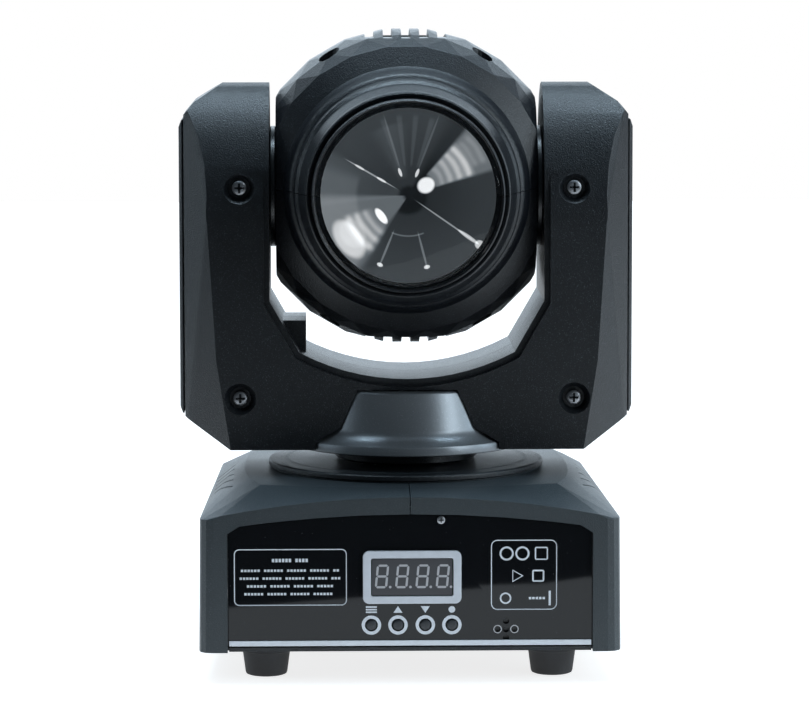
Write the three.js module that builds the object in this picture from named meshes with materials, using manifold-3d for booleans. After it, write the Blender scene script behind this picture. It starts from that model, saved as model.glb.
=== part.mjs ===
// Moving head light: a square base, a yoke that pans on it, and a faceted head that tilts in the yoke.
// Millimetres, +Z up, the lens looks along -Y, and the origin is on the floor under the pan axis.
import * as THREE from 'three';
import { mergeVertices } from 'three/addons/utils/BufferGeometryUtils.js';
import { ConvexGeometry } from 'three/addons/geometries/ConvexGeometry.js';
import Module from 'manifold-3d';

const wasm = await Module();
wasm.setup();

// ---- Driving dimensions ----
const GAP = 0.3;
const WALL = 2.5;

const BASE_DEPTH = 160;
const BASE_FRONT_HALF = 79.8;
const BASE_REAR_HALF = 74.5;
const BASE_FLOOR = 12;
const SHOULDER_Z = 63;
const ROOF_Z = 73;
const FRAME_RISE = 8.5;
const DISC_RADIUS = 54.5;
const DISC_TOP = 76;
const PANEL_HALF = 69.4;
const PANEL_TOP = 65;
const PANEL_ARCH = 4.4;
const PANEL_DEPTH = 1.4; // how far the front and rear panels sit back
const PANEL_THICKNESS = 1.4;
const DISPLAY = { x0: -14.6, x1: 16, z0: 33.8, z1: 47.8 };
const BEZEL = { width: 37.4, height: 20.3, corner: 2.4, centre: [0.7, 40.8] };
const SOCKET_Z = 36;
const DATA_SOCKET_X = { in: -8, out: -40 };
const BUTTON_X = [-14.8, -4.7, 5.7, 15.8];
const BUTTON_Z = 22.3;
const MIC = { x: 36.4, z: 20.5, spacing: 3.2, radius: 1.2 };
const FOOT = { x: 55, y: 58, top: 9.6, bottom: 8 };

const YOKE_FLOOR = 83;
const YOKE_HALF_DEPTH = 31;
const YOKE_TOP = 225;
const YOKE_BEND = 170.6;
const YOKE_HALF_WIDTH = 87;
const COVER_X = 89;
const CHANNEL_HALF = 53.5;
const CHANNEL_FLOOR = 110.5;
const CHANNEL_ARC = 89;
const CHANNEL_STEP = 2.2; // depth and width of the step along the channel's edge
const ARC_STEPS = 7;
const SHAFT_RADIUS = 12;
const SCREW_X = 65.1;
const SCREW_LEVELS = [103, 185.2];

const TILT_Z = 184;
const HEAD_FLAT = 51;
const AXLE_RADIUS = 8;
const LENS_RADIUS = 35.2;

const PAN_TEETH = [72, 20];
const TILT_TEETH = [60, 20];
const TOOTH_RADIUS = 0.31; // belt pulley radius for each tooth
const BELT_STEPS = 10;
const PAN_MOTOR = { x: -46, y: 8, half: 17.5 };
const TILT_MOTOR_Z = 128;

const FINISH = {
  shell: { color: 0x1f2226, roughness: 0.5, metalness: 0 },
  gloss: { color: 0x0b0c0e, roughness: 0.12, metalness: 0 },
  hub: { color: 0x3a3e42, roughness: 0.35, metalness: 0.3 },
  pale: { color: 0xc9ccd0, roughness: 0.45, metalness: 0 },
  display: { color: 0x55585c, roughness: 0.3, metalness: 0 },
  rubber: { color: 0x2a2c2e, roughness: 0.75, metalness: 0 },
  steel: { color: 0x9a9da0, roughness: 0.35, metalness: 1 },
  aluminium: { color: 0xb8babd, roughness: 0.4, metalness: 1 },
  board: { color: 0x1d5a35, roughness: 0.5, metalness: 0 },
  glass: { color: 0xe6eef2, roughness: 0.03, metalness: 0 },
};

// ---- Solids ----
const PROFILE_AXES = {
  x: [[0, 1, 0], [0, 0, 1], [1, 0, 0]],
  y: [[1, 0, 0], [0, 0, 1], [0, -1, 0]],
  z: [[1, 0, 0], [0, 1, 0], [0, 0, 1]],
};

// A three.js geometry as a manifold solid with its faces pointing out.
function solidOf(geometry) {
  const bare = geometry.clone();
  bare.deleteAttribute('normal');
  bare.deleteAttribute('uv');
  const merged = mergeVertices(bare, 1e-4);
  const position = merged.attributes.position;
  const triangles = [];
  let volume = 0;
  const corner = [new THREE.Vector3(), new THREE.Vector3(), new THREE.Vector3()];
  for (let i = 0; i < merged.index.count; i += 3) {
    const ids = [0, 1, 2].map((k) => merged.index.getX(i + k));
    if (new Set(ids).size < 3) continue;
    ids.forEach((id, k) => corner[k].fromBufferAttribute(position, id));
    volume += corner[0].dot(corner[1].clone().cross(corner[2]));
    triangles.push(ids);
  }
  if (volume < 0) triangles.forEach((ids) => ids.reverse());
  return new wasm.Manifold(new wasm.Mesh({
    numProp: 3,
    vertProperties: new Float32Array(position.array),
    triVerts: new Uint32Array(triangles.flat()),
  }));
}

const join = (...solids) => solids.reduce((whole, solid) => whole.add(solid));
const cut = (solid, ...tools) => tools.reduce((whole, tool) => whole.subtract(tool), solid);
const common = (...solids) => solids.reduce((whole, solid) => whole.intersect(solid));

function box(x0, x1, y0, y1, z0, z1) {
  const geometry = new THREE.BoxGeometry(x1 - x0, y1 - y0, z1 - z0);
  return solidOf(geometry.translate((x0 + x1) / 2, (y0 + y1) / 2, (z0 + z1) / 2));
}

// An outline in the two axes other than `axis`, in x, y, z order, extruded from `from` to `to`.
function prism(axis, outline, from, to) {
  const shape = new THREE.Shape(outline.map(([a, b]) => new THREE.Vector2(a, b)));
  const geometry = new THREE.ExtrudeGeometry(shape, { depth: to - from, bevelEnabled: false });
  if (axis === 'y') geometry.translate(0, 0, -to);
  else geometry.translate(0, 0, from);
  const [a, b, c] = PROFILE_AXES[axis].map((v) => new THREE.Vector3(...v));
  return solidOf(geometry.applyMatrix4(new THREE.Matrix4().makeBasis(a, b, c)));
}

// A profile of [radius, place along the axis] turned about an axis through `centre`.
function turned(axis, profile, segments = 32, centre = [0, 0]) {
  const points = profile.map(([r, along]) => new THREE.Vector2(r, along));
  const geometry = new THREE.LatheGeometry(points, segments);
  if (axis === 'z') geometry.rotateX(Math.PI / 2).translate(centre[0], centre[1], 0);
  if (axis === 'x') geometry.rotateZ(-Math.PI / 2).translate(0, centre[0], centre[1]);
  if (axis === 'y') geometry.translate(centre[0], 0, centre[1]);
  return solidOf(geometry);
}

const rod = (axis, r, from, to, centre, segments = 20) =>
  turned(axis, [[0, from], [r, from], [r, to], [0, to]], segments, centre);

const tube = (axis, inner, outer, from, to, centre, segments = 24) =>
  turned(axis, [[inner, from], [outer, from], [outer, to], [inner, to], [inner, from]], segments, centre);

const hull = (points) => solidOf(new ConvexGeometry(points.map((p) => new THREE.Vector3(...p))));

// A rectangle with round corners, as an outline.
function rounded(width, height, radius, centre = [0, 0], steps = 3) {
  const outline = [];
  const corners = [[1, 1], [-1, 1], [-1, -1], [1, -1]];
  corners.forEach(([sx, sy], quarter) => {
    for (let i = 0; i <= steps; i++) {
      const angle = (quarter + i / steps) * Math.PI / 2;
      outline.push([
        centre[0] + sx * (width / 2 - radius) + radius * Math.cos(angle),
        centre[1] + sy * (height / 2 - radius) + radius * Math.sin(angle),
      ]);
    }
  });
  return outline;
}

const mirrored = (right) => [...right, ...right.map(([x, z]) => [-x, z]).reverse()];

function part(name, shape, finish) {
  const { vertProperties, triVerts } = shape.getMesh();
  const geometry = new THREE.BufferGeometry();
  geometry.setAttribute('position', new THREE.BufferAttribute(new Float32Array(vertProperties), 3));
  geometry.setIndex(new THREE.BufferAttribute(new Uint32Array(triVerts), 1));
  geometry.computeVertexNormals();
  const mesh = new THREE.Mesh(geometry, new THREE.MeshStandardMaterial(FINISH[finish]));
  mesh.name = name;
  return mesh;
}

// ---- Base ----
const frameArc = (x) => SHOULDER_Z + FRAME_RISE * (1 - (x / BASE_FRONT_HALF) ** 2);

// One quarter of the roof's chamfered rim and of its flat top.
const ROOF_RIM = [[61, 59], [65.5, 42], [67.8, 22], [68.5, 0]];
const ROOF_TOP = [[57, 55], [61.5, 38], [63.4, 20], [64, 0], [40, 60.5], [20, 63.6], [0, 64.5]];
const ROOF_CHAMFER = 1.8;

// The outer form of the base, or with an inset its hollow.
function baseForm(inset, floor) {
  const front = -BASE_DEPTH / 2 + inset;
  const points = [];
  const cornerRadius = 5;
  for (const side of [-1, 1]) {
    for (const end of [-1, 1]) {
      const half = (end < 0 ? BASE_FRONT_HALF : BASE_REAR_HALF) - inset;
      for (const degrees of [0, 30, 60, 90]) {
        const angle = THREE.MathUtils.degToRad(degrees);
        const x = side * (half - cornerRadius * (1 - Math.cos(angle)));
        const y = end * (-front - cornerRadius * (1 - Math.sin(angle)));
        points.push([x * 1.006, y, floor], [x, y, SHOULDER_Z - inset * 0.6]);
      }
    }
    for (const end of [-1, 1]) {
      for (const [x, y] of ROOF_RIM) {
        points.push([side * (x - inset), end * Math.max(0, y - inset), ROOF_Z - ROOF_CHAMFER - inset]);
      }
      for (const [x, y] of ROOF_TOP) {
        points.push([side * Math.max(0, x - inset), end * Math.max(0, y - inset), ROOF_Z - inset]);
      }
      const taper = end < 0 ? 1 : BASE_REAR_HALF / BASE_FRONT_HALF;
      for (let x = 0; x <= 72; x += 12) points.push([side * x * taper, -end * front, frameArc(x) - inset]);
    }
  }
  return hull(points);
}

// The outline of the front opening, or with a clearance the panel that fills it.
function panelOutline(clearance, floor) {
  const right = [[PANEL_HALF - clearance, floor], [PANEL_HALF - clearance, 57.6]];
  const archHalf = 64.8;
  for (const x of [archHalf, 54, 36, 18]) {
    right.push([x - clearance, PANEL_TOP - clearance - PANEL_ARCH * (x / archHalf) ** 2]);
  }
  return mirrored([...right, [0.01, PANEL_TOP - clearance]]);
}

function ventSlots(side) {
  return [-34, -21, -8, 5, 18].map((y) => {
    const foot = [side * 75.5, y + 7];
    const head = [side * 68, y - 6];
    const half = 1.1;
    return prism('z', [[foot[0], foot[1] - half], [head[0], head[1] - half],
      [head[0], head[1] + half], [foot[0], foot[1] + half]], 60, 76);
  });
}

function makeBase() {
  const group = new THREE.Group();
  const whole = join(baseForm(0, BASE_FLOOR), turned('z',
    [[0, ROOF_Z - 1.5], [53.2, ROOF_Z - 1.5], [53.4, ROOF_Z + 0.6], [DISC_RADIUS, ROOF_Z + 1.2],
      [DISC_RADIUS, DISC_TOP - 0.7], [DISC_RADIUS - 0.8, DISC_TOP], [0, DISC_TOP]], 48));
  const shell = cut(whole, baseForm(WALL, BASE_FLOOR - 2),
    prism('y', panelOutline(0, BASE_FLOOR - 2), -82, -74),
    box(-60, 60, 74, 82, BASE_FLOOR - 2, 58),
    rod('z', 19.3, 60, 80),
    ...ventSlots(-1), ...ventSlots(1));
  group.add(part('base_shell_left', common(shell, box(-100, -0.15, -100, 100, 0, 100)), 'shell'));
  group.add(part('base_shell_right', common(shell, box(0.15, 100, -100, 100, 0, 100)), 'shell'));

  const plateOutline = mirrored([[68.9, -78.8], [68.9, -76], [72, -76], [75.4, -71], [70.6, 70], [66, 75]]);
  const pad = prism('z', rounded(60, 60, 4), 10.3, 12.4);
  const plate = cut(join(prism('z', plateOutline, 12.3, 13.8), pad), rod('z', 4.3, 8, 16));
  group.add(part('bottom_plate', plate, 'shell'));
  for (const [side, x] of [['left', -FOOT.x], ['right', FOOT.x]]) {
    for (const [end, y] of [['front', -FOOT.y], ['rear', FOOT.y]]) {
      const profile = [[0, 0], [FOOT.bottom - 1, 0], [FOOT.bottom, 1.2], [FOOT.top, 12], [0, 12]];
      group.add(part(`foot_${end}_${side}`, turned('z', profile, 16, [x, y]), 'rubber'));
    }
  }

  const front = -BASE_DEPTH / 2;
  const micHoles = [[0, 0], [1, 0], [-1, 0], [0, 1], [0, -1]].map(([i, j]) =>
    rod('y', MIC.radius, front - 1, front + 4, [MIC.x + i * MIC.spacing, MIC.z + j * MIC.spacing], 8));
  const panelFace = front + PANEL_DEPTH;
  const { x0, x1, z0, z1 } = DISPLAY;
  const panelHole = box(x0 - 0.6, x1 + 0.6, front, front + 4, z0 - 0.6, z1 + 0.6);
  const panel = cut(prism('y', panelOutline(GAP, 14.3), panelFace, panelFace + PANEL_THICKNESS), panelHole,
    ...BUTTON_X.map((x) => rod('y', 2.4, front, front + 4, [x, BUTTON_Z], 16)), ...micHoles);
  group.add(part('front_panel', panel, 'gloss'));
  group.add(part('panel_trim_strip', box(-68.8, 68.8, front + 0.4, front + 1.1, 14.5, 16.5), 'pale'));
  const bezelOutline = rounded(BEZEL.width, BEZEL.height, BEZEL.corner, BEZEL.centre);
  const bezel = cut(prism('y', bezelOutline, front + 0.1, front + 1.1),
    box(x0 - 0.35, x1 + 0.35, front - 1, front + 2, z0 - 0.3, z1 + 0.3));
  group.add(part('display_bezel', bezel, 'pale'));
  const module = box(x0, x1, front + 0.5, front + 7, z0, z1);
  group.add(part('display_module', module, 'display'));
  group.add(part('panel_screw', turned('y', [[0, front + 0.5], [1.1, front + 0.5], [1.5, front + 0.8],
    [1.5, front + 1.1], [0, front + 1.1]], 12, [11.7, 62.6]), 'steel'));
  group.add(part('control_board', box(-40, 50, front + 8.5, front + 10.1, 16, 56), 'board'));
  group.add(part('microphone', rod('y', 4.5, front + 3.2, front + 8, [MIC.x, MIC.z], 24), 'steel'));
  const buttonNames = ['button_menu', 'button_up', 'button_down', 'button_enter'];
  buttonNames.forEach((name, i) => {
    const [face, end] = [front + 0.9, front + 7.5];
    const profile = [[0, face], [1.6, face], [2, face + 0.4], [2, end], [0, end]];
    group.add(part(name, turned('y', profile, 16, [BUTTON_X[i], BUTTON_Z]), 'shell'));
  });

  const rear = BASE_DEPTH / 2;
  const rearHoles = Object.values(DATA_SOCKET_X).map((x) => rod('y', 12, rear - 5, rear, [x, SOCKET_Z]));
  const rearFace = rear - PANEL_DEPTH;
  const rearPanel = cut(box(-59.7, 59.7, rearFace - PANEL_THICKNESS, rearFace, 14.3, 57.7),
    box(26, 54, rear - 5, rear, 24, 44), ...rearHoles);
  group.add(part('rear_panel', rearPanel, 'shell'));
  const flange = box(24.5, 55.5, rear - 1.1, rear, 22, 46);
  const well = box(26.4, 53.6, rear - 22, rear - 1, 24.4, 43.6);
  const inlet = cut(join(flange, well), box(28.5, 51.5, rear - 16, rear + 1, 26.5, 41.5));
  const blades = [34, 40, 46].map((x) => box(x - 1, x + 1, rear - 17, rear - 5, 29, 33));
  group.add(part('power_inlet', join(inlet, ...blades), 'gloss'));
  const pins = (x) => [90, 210, 330].map((degrees) => {
    const angle = THREE.MathUtils.degToRad(degrees);
    const centre = [x + 5.6 * Math.cos(angle), SOCKET_Z + 5.6 * Math.sin(angle)];
    return rod('y', 1.1, rear - 13, rear - 4, centre, 10);
  });
  for (const [name, x] of Object.entries(DATA_SOCKET_X)) {
    const plate = prism('y', rounded(26, 31, 3, [x, SOCKET_Z]), rear - 1.1, rear);
    const barrelBody = rod('y', 11.7, rear - 18, rear - 1, [x, SOCKET_Z]);
    const bore = rod('y', 9, rear - 12, rear + 1, [x, SOCKET_Z]);
    group.add(part(`data_${name}_socket`, join(cut(join(plate, barrelBody), bore), ...pins(x)), 'steel'));
  }
  const board = box(14, 66, -45, 42, 20, 21.6);
  const transformer = box(20, 42, -38, -16, 21, 38);
  const heatPlate = box(46, 60, -30, 10, 21, 34);
  const choke = box(20, 40, 0, 26, 21, 33);
  const supply = join(board, transformer, heatPlate, choke, rod('z', 6, 21, 44, [28, -8.5]));
  group.add(part('power_supply_board', supply, 'board'));

  group.add(part('pan_bearing', tube('z', SHAFT_RADIUS + GAP, 19, 68, 75.7, [0, 0], 28), 'steel'));
  const { x, y, half } = PAN_MOTOR;
  const motor = join(box(x - half, x + half, y - half, y + half, 26, 54), rod('z', 2.5, 53, 66, [x, y], 16));
  group.add(part('pan_motor', motor, 'steel'));
  const [big, small] = PAN_TEETH.map((teeth) => teeth * TOOTH_RADIUS);
  group.add(part('pan_motor_pulley', tube('z', 2.8, small, 59, 66, [x, y], 16), 'aluminium'));
  group.add(part('pan_belt', belt('z', [0, 0], big, [x, y], small, 59.5, 65.5), 'rubber'));
  return group;
}

// A belt round two pulleys: the outline about both, less the same outline one belt thinner.
function belt(axis, c1, r1, c2, r2, from, to) {
  const loop = (grow) => {
    const along = Math.atan2(c2[1] - c1[1], c2[0] - c1[0]);
    const span = Math.hypot(c2[0] - c1[0], c2[1] - c1[1]);
    const lean = Math.acos((r1 - r2) / span);
    const outline = [];
    const sweep = (centre, radius, start, end) => {
      for (let i = 0; i <= BELT_STEPS; i++) {
        const angle = start + (end - start) * i / BELT_STEPS;
        outline.push([centre[0] + radius * Math.cos(angle), centre[1] + radius * Math.sin(angle)]);
      }
    };
    sweep(c1, r1 + grow, along + lean, along + 2 * Math.PI - lean);
    sweep(c2, r2 + grow, along - lean, along + lean);
    return outline;
  };
  return cut(prism(axis, loop(1.5), from, to), prism(axis, loop(0.5), from - 1, to + 1));
}

// ---- Yoke ----
// The gap between the arms, grown outwards by `grow`.
function channelOutline(grow) {
  const right = [[CHANNEL_HALF + grow, YOKE_TOP + 10], [CHANNEL_HALF + grow, 141 - 0.4 * grow]];
  const floorHalf = 42 + 0.75 * grow;
  for (let i = ARC_STEPS; i > 0; i--) {
    const x = floorHalf * i / ARC_STEPS;
    const rise = CHANNEL_ARC - Math.sqrt(CHANNEL_ARC ** 2 - x ** 2);
    right.push([x, CHANNEL_FLOOR - 1.3 * grow + rise]);
  }
  return mirrored([...right, [0.01, CHANNEL_FLOOR - 1.3 * grow]]);
}

// The outer form of the yoke without its gap, or with an inset its hollow.
function yokeForm(inset) {
  const depth = YOKE_HALF_DEPTH - inset * 1.2;
  const outerHalf = YOKE_HALF_WIDTH - inset * 0.8;
  const right = [
    [69 - inset * 0.4, YOKE_FLOOR + inset],
    [outerHalf, 94.5 + inset * 0.3],
    [outerHalf, 213],
    [82.8 - inset * 0.6, 218 - inset * 0.6],
    [71.8 - inset * 0.4, YOKE_TOP - inset],
  ];
  const front = prism('y', mirrored(right), -60, 60);
  const bend = YOKE_BEND;
  const archedSide = [[depth, YOKE_FLOOR - 5]];
  for (let i = 0; i <= 7; i++) {
    const angle = i / 7 * Math.PI / 2;
    archedSide.push([depth * Math.cos(angle) + 0.01, bend + (YOKE_TOP - inset - bend) * Math.sin(angle)]);
  }
  const profile = prism('x', mirrored(archedSide), -100, 100);
  const levels = [[YOKE_FLOOR - 1, 68.7], [118, 74.3], [175, 77.8], [YOKE_TOP + 1, 72.2]];
  const points = [];
  for (const [z, half] of levels) {
    for (const sx of [-1, 1]) {
      for (const sy of [-1, 1]) {
        points.push([sx * (half - inset * 0.5), sy * depth, z]);
        points.push([sx * outerHalf, sy * (15 - inset * 0.4), z]);
      }
    }
  }
  return common(front, profile, hull(points));
}

const HUB_OUTLINE = [[46.6, 82.2], [46.6, 85.2], [40, 91.3], [36, 105.8]];

function makeYoke() {
  const group = new THREE.Group();
  const halves = { front: box(-100, 100, -60, -0.15, 0, 300), rear: box(-100, 100, 0.15, 60, 0, 300) };
  const hubRoomProfile = [[0, 78], [47.4, 78], [47.4, 85.9], [40.6, 91.6], [36.7, 106.4], [0, 106.4]];
  const hubRoom = turned('z', hubRoomProfile, 40);
  const cavity = cut(yokeForm(2.5), prism('y', channelOutline(2.6), -60, 60));
  const step = (y0, y1) => prism('y', channelOutline(CHANNEL_STEP), y0, y1);
  const duct = box(-51.3, -39.4, -16, 16, 117, 132.3);
  const openings = [box(-88, -83, -9, 9, 105, 203), box(83, 88, -9, 9, 105, 203)];
  const bearingHoles = [rod('x', 14.6, -58, -52, [0, TILT_Z], 24), rod('x', 14.6, 52, 58, [0, TILT_Z], 24)];
  const bare = cut(yokeForm(0), prism('y', channelOutline(0), -60, 60),
    step(-60, CHANNEL_STEP - YOKE_HALF_DEPTH), step(YOKE_HALF_DEPTH - CHANNEL_STEP, 60));
  const solid = join(bare, duct);
  let shell = cut(solid, cavity, hubRoom, ...openings, ...bearingHoles);
  const bosses = [];
  const sinks = [];
  const face = -YOKE_HALF_DEPTH;
  const sinkProfile = [[0, face - 3], [6.4, face - 3], [6.2, face + 1], [4.2, face + 4.4], [0, face + 4.4]];
  for (const x of [-SCREW_X, SCREW_X]) {
    for (const z of SCREW_LEVELS) {
      bosses.push(common(rod('y', 7.6, face + 0.8, face + 7.5, [x, z], 20), yokeForm(0)));
      sinks.push(turned('y', sinkProfile, 20, [x, z]), rod('y', 1.9, face, face + 12, [x, z], 10));
    }
  }
  shell = cut(join(shell, ...bosses), ...sinks);
  group.add(part('yoke_front_shell', common(shell, halves.front), 'shell'));
  group.add(part('yoke_rear_shell', common(shell, halves.rear), 'shell'));
  const screwProfile = [[0, face + 2], [2, face + 2.1], [2.8, face + 3], [2.8, face + 4.1], [1.5, face + 4.1],
    [1.5, face + 11], [0, face + 11]];
  for (const z of SCREW_LEVELS) {
    for (const [side, x] of [['left', -SCREW_X], ['right', SCREW_X]]) {
      const level = z < TILT_Z ? 'lower' : 'upper';
      const head = turned('y', screwProfile, 12, [x, z]);
      const cross = [box(x - 1.5, x + 1.5, face + 1, face + 3, z - 0.4, z + 0.4),
        box(x - 0.4, x + 0.4, face + 1, face + 3, z - 1.5, z + 1.5)];
      group.add(part(`yoke_screw_${level}_${side}`, cut(head, ...cross), 'steel'));
    }
  }

  for (const [side, sign] of [['left', -1], ['right', 1]]) {
    const inner = YOKE_HALF_WIDTH + GAP;
    const quarter = [[inner, 13.5, 95.5], [inner, 13.5, 211], [inner + 0.6, 13.5, 95.5],
      [inner + 0.6, 13.5, 211], [COVER_X, 11.5, 98], [COVER_X, 11.5, 208]];
    const plate = hull(quarter.flatMap(([x, y, z]) => [[sign * x, y, z], [sign * x, -y, z]]));
    group.add(part(`side_cover_${side}`, plate, 'shell'));
    const from = sign < 0 ? -61 : 54;
    const bearing = tube('x', AXLE_RADIUS + GAP, 14.2, from, from + 6.5, [0, TILT_Z], 24);
    group.add(part(`tilt_bearing_${side}`, bearing, 'steel'));
  }

  const bore = SHAFT_RADIUS + 0.4;
  const hubProfile = [...HUB_OUTLINE, [bore, 105.8], [bore, 102.6], [33, 102.6], [37, 91], [43.4, 84.4],
    [43.4, 82.2], HUB_OUTLINE[0]];
  group.add(part('hub_bell', turned('z', hubProfile, 40), 'hub'));
  const shaftProfile = [[8.5, 57], [SHAFT_RADIUS, 57], [SHAFT_RADIUS, 76.5], [28, 76.5], [28, 83.5],
    [SHAFT_RADIUS, 83.5], [SHAFT_RADIUS, 105.8], [8.5, 105.8], [8.5, 57]];
  group.add(part('pan_shaft', turned('z', shaftProfile, 28), 'steel'));
  const [panBig] = PAN_TEETH.map((teeth) => teeth * TOOTH_RADIUS);
  group.add(part('pan_pulley', tube('z', SHAFT_RADIUS + GAP, panBig, 59, 66, [0, 0], 32), 'aluminium'));

  const strap = box(-63.5, 63.5, -16, 16, 106.1, 106.8);
  const uprights = [box(-63.5, -62, -16, 16, 106.1, 202), box(62, 63.5, -16, 16, 106.1, 202)];
  const frame = cut(join(strap, ...uprights), rod('x', AXLE_RADIUS + 1, -70, 70, [0, TILT_Z]),
    rod('z', 10, 100, 110));
  group.add(part('yoke_frame', frame, 'steel'));
  const motor = join(box(64, 77, -16, 16, 112, 144), rod('x', 2, 76, 84, [0, TILT_MOTOR_Z], 16));
  group.add(part('tilt_motor', motor, 'steel'));
  const [tiltBig, tiltSmall] = TILT_TEETH.map((teeth) => teeth * TOOTH_RADIUS * 0.9);
  const tiltPulley = tube('x', 2.3, tiltSmall, 78, 82.5, [0, TILT_MOTOR_Z], 24);
  group.add(part('tilt_motor_pulley', tiltPulley, 'aluminium'));
  const tiltBelt = belt('x', [0, TILT_Z], tiltBig, [0, TILT_MOTOR_Z], tiltSmall, 78.4, 82.1);
  group.add(part('tilt_belt', tiltBelt, 'rubber'));
  return group;
}

// ---- Head, about its tilt axis ----
const BARREL_SIDES = 24;
const HALF_FACET = 180 / BARREL_SIDES;

// Rings of a many-sided barrel along Y; alternate rings are turned half a side, which makes diamond facets.
function barrel(rings) {
  const points = [];
  for (const [radius, y, turn] of rings) {
    for (let i = 0; i < BARREL_SIDES; i++) {
      const angle = THREE.MathUtils.degToRad(2 * HALF_FACET * i + turn);
      points.push([radius * Math.sin(angle), y, radius * Math.cos(angle)]);
    }
  }
  return hull(points);
}

function makeHead() {
  const group = new THREE.Group();
  group.position.z = TILT_Z;
  const outerRings = [[47.5, -25, 0], [56, -20, HALF_FACET], [60.2, -12, 0], [62.2, -3, HALF_FACET],
    [62.2, 10, HALF_FACET], [59.5, 23, 0], [54, 35, HALF_FACET], [45, 46, 0]];
  const innerRings = [[44, -22, 0], [52.5, -17, HALF_FACET], [56, -10, 0], [57.4, -3, HALF_FACET],
    [57.4, 10, HALF_FACET], [56, 21, 0], [50.5, 33, HALF_FACET], [42, 43.5, 0]];
  const between = (half) => box(-half, half, -40, 60, -70, 70);
  const outer = common(barrel(outerRings), between(HEAD_FLAT));
  const inner = common(barrel(innerRings), between(HEAD_FLAT - 3));
  const grooves = [];
  for (let i = -2; i <= 2; i++) {
    const x = i * 7.1;
    for (const end of [-1, 1]) {
      const low = end < 0 ? -70 : 58.6;
      const deep = end < 0 ? -62 : 52;
      grooves.push(box(x - 1.8, x + 1.8, -18, 26, low, low + 11.4));
      grooves.push(box(x - 1.8, x + 1.8, 2, 22, deep, deep + 10));
    }
  }
  const pillars = [];
  const wells = [];
  for (const x of [-30, 30]) {
    pillars.push(common(rod('z', 5.8, -60, 60, [x, -10], 16), outer));
    wells.push(rod('z', 4, 44, 70, [x, -10], 16), rod('z', 4, -70, -46, [x, -10], 16));
    wells.push(rod('z', 1.9, -12, 60, [x, -10], 10));
  }
  const mouths = [rod('y', 44.6, -40, -15, [0, 0], 36), rod('y', 40.4, 40, 60, [0, 0], 28)];
  const shell = cut(join(cut(outer, inner), ...pillars), ...grooves, ...wells, ...mouths,
    rod('x', AXLE_RADIUS + GAP, -60, 60, [0, 0]));
  const above = box(-100, 100, -100, 100, 0.12, 100);
  const below = box(-100, 100, -100, 100, -100, -0.12);
  group.add(part('head_shell_upper', common(shell, above), 'shell'));
  group.add(part('head_shell_lower', common(shell, below), 'shell'));

  const ringProfile = [[44, -21], [44, -25.6], [48.2, -25.6], [46.2, -30.6], [44, -32.8], [43.9, -39.6],
    [42, -41.3], [39.6, -49], [39.4, -52.2], [37.4, -52.2], [37, -58.8], [35.7, -58.8], [35.6, -54],
    [33.6, -54], [33.6, -30], [40, -21], [44, -21]];
  const ring = turned('y', ringProfile, 36);
  group.add(part('lens_ring_upper', common(ring, above), 'shell'));
  group.add(part('lens_ring_lower', common(ring, below), 'shell'));
  const lensProfile = [[0, -54.4], [LENS_RADIUS, -54.4], [LENS_RADIUS, -57.6]];
  for (let i = 1; i <= 4; i++) {
    const r = LENS_RADIUS * (1 - i / 4);
    lensProfile.push([r, -57.6 - 7 * (1 - (r / LENS_RADIUS) ** 2)]);
  }
  group.add(part('lens', turned('y', lensProfile, 32), 'glass'));
  const cupProfile = [[11, 1.5], [32.2, -52.5], [33.2, -52.5], [12.2, 1.5], [11, 1.5]];
  group.add(part('light_cup', turned('y', cupProfile, 32), 'aluminium'));
  group.add(part('led_board', join(rod('y', 22, 2, 3.6, [0, 0]), rod('y', 6, 0.8, 2.4, [0, 0])), 'board'));
  const fins = [rod('y', 37, 4, 8, [0, 0], 28)];
  for (let i = -5; i <= 5; i++) {
    const x = i * 6.2;
    const half = Math.sqrt(36 ** 2 - x ** 2);
    fins.push(box(x - 1, x + 1, 7, 27, -half, half));
  }
  group.add(part('heat_sink', join(...fins), 'aluminium'));
  const fanFrame = cut(prism('y', rounded(50, 50, 4), 28, 38), rod('y', 23.5, 27, 39));
  const spider = join(box(-24, 24, 28, 29.2, -1.5, 1.5), rod('y', 9, 28, 29.2, [0, 0], 16));
  group.add(part('fan_frame', join(fanFrame, spider), 'shell'));
  const blades = [rod('y', 9.5, 29.8, 38, [0, 0], 16)];
  const bladeCount = 7;
  for (let i = 0; i < bladeCount; i++) {
    const blade = new THREE.BoxGeometry(1.2, 9.5, 14.5).rotateZ(0.6).translate(0, 34, 15);
    blades.push(solidOf(blade.rotateY(i * 2 * Math.PI / bladeCount)));
  }
  const sweep = rod('y', 22.5, 29.8, 38.2, [0, 0], 28);
  group.add(part('fan_rotor', common(join(...blades), sweep), 'gloss'));
  const slots = [];
  for (let i = -5; i <= 5; i++) {
    const z = i * 6;
    const half = Math.sqrt(36 ** 2 - z ** 2) - 1;
    slots.push(box(-half, half, 40, 50, z - 1.6, z + 1.6));
  }
  const grille = join(cut(rod('y', 40, 43.6, 45.6, [0, 0], 28), ...slots), box(-2, 2, 43.6, 45.6, -38, 38));
  group.add(part('rear_grille', grille, 'shell'));

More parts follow.
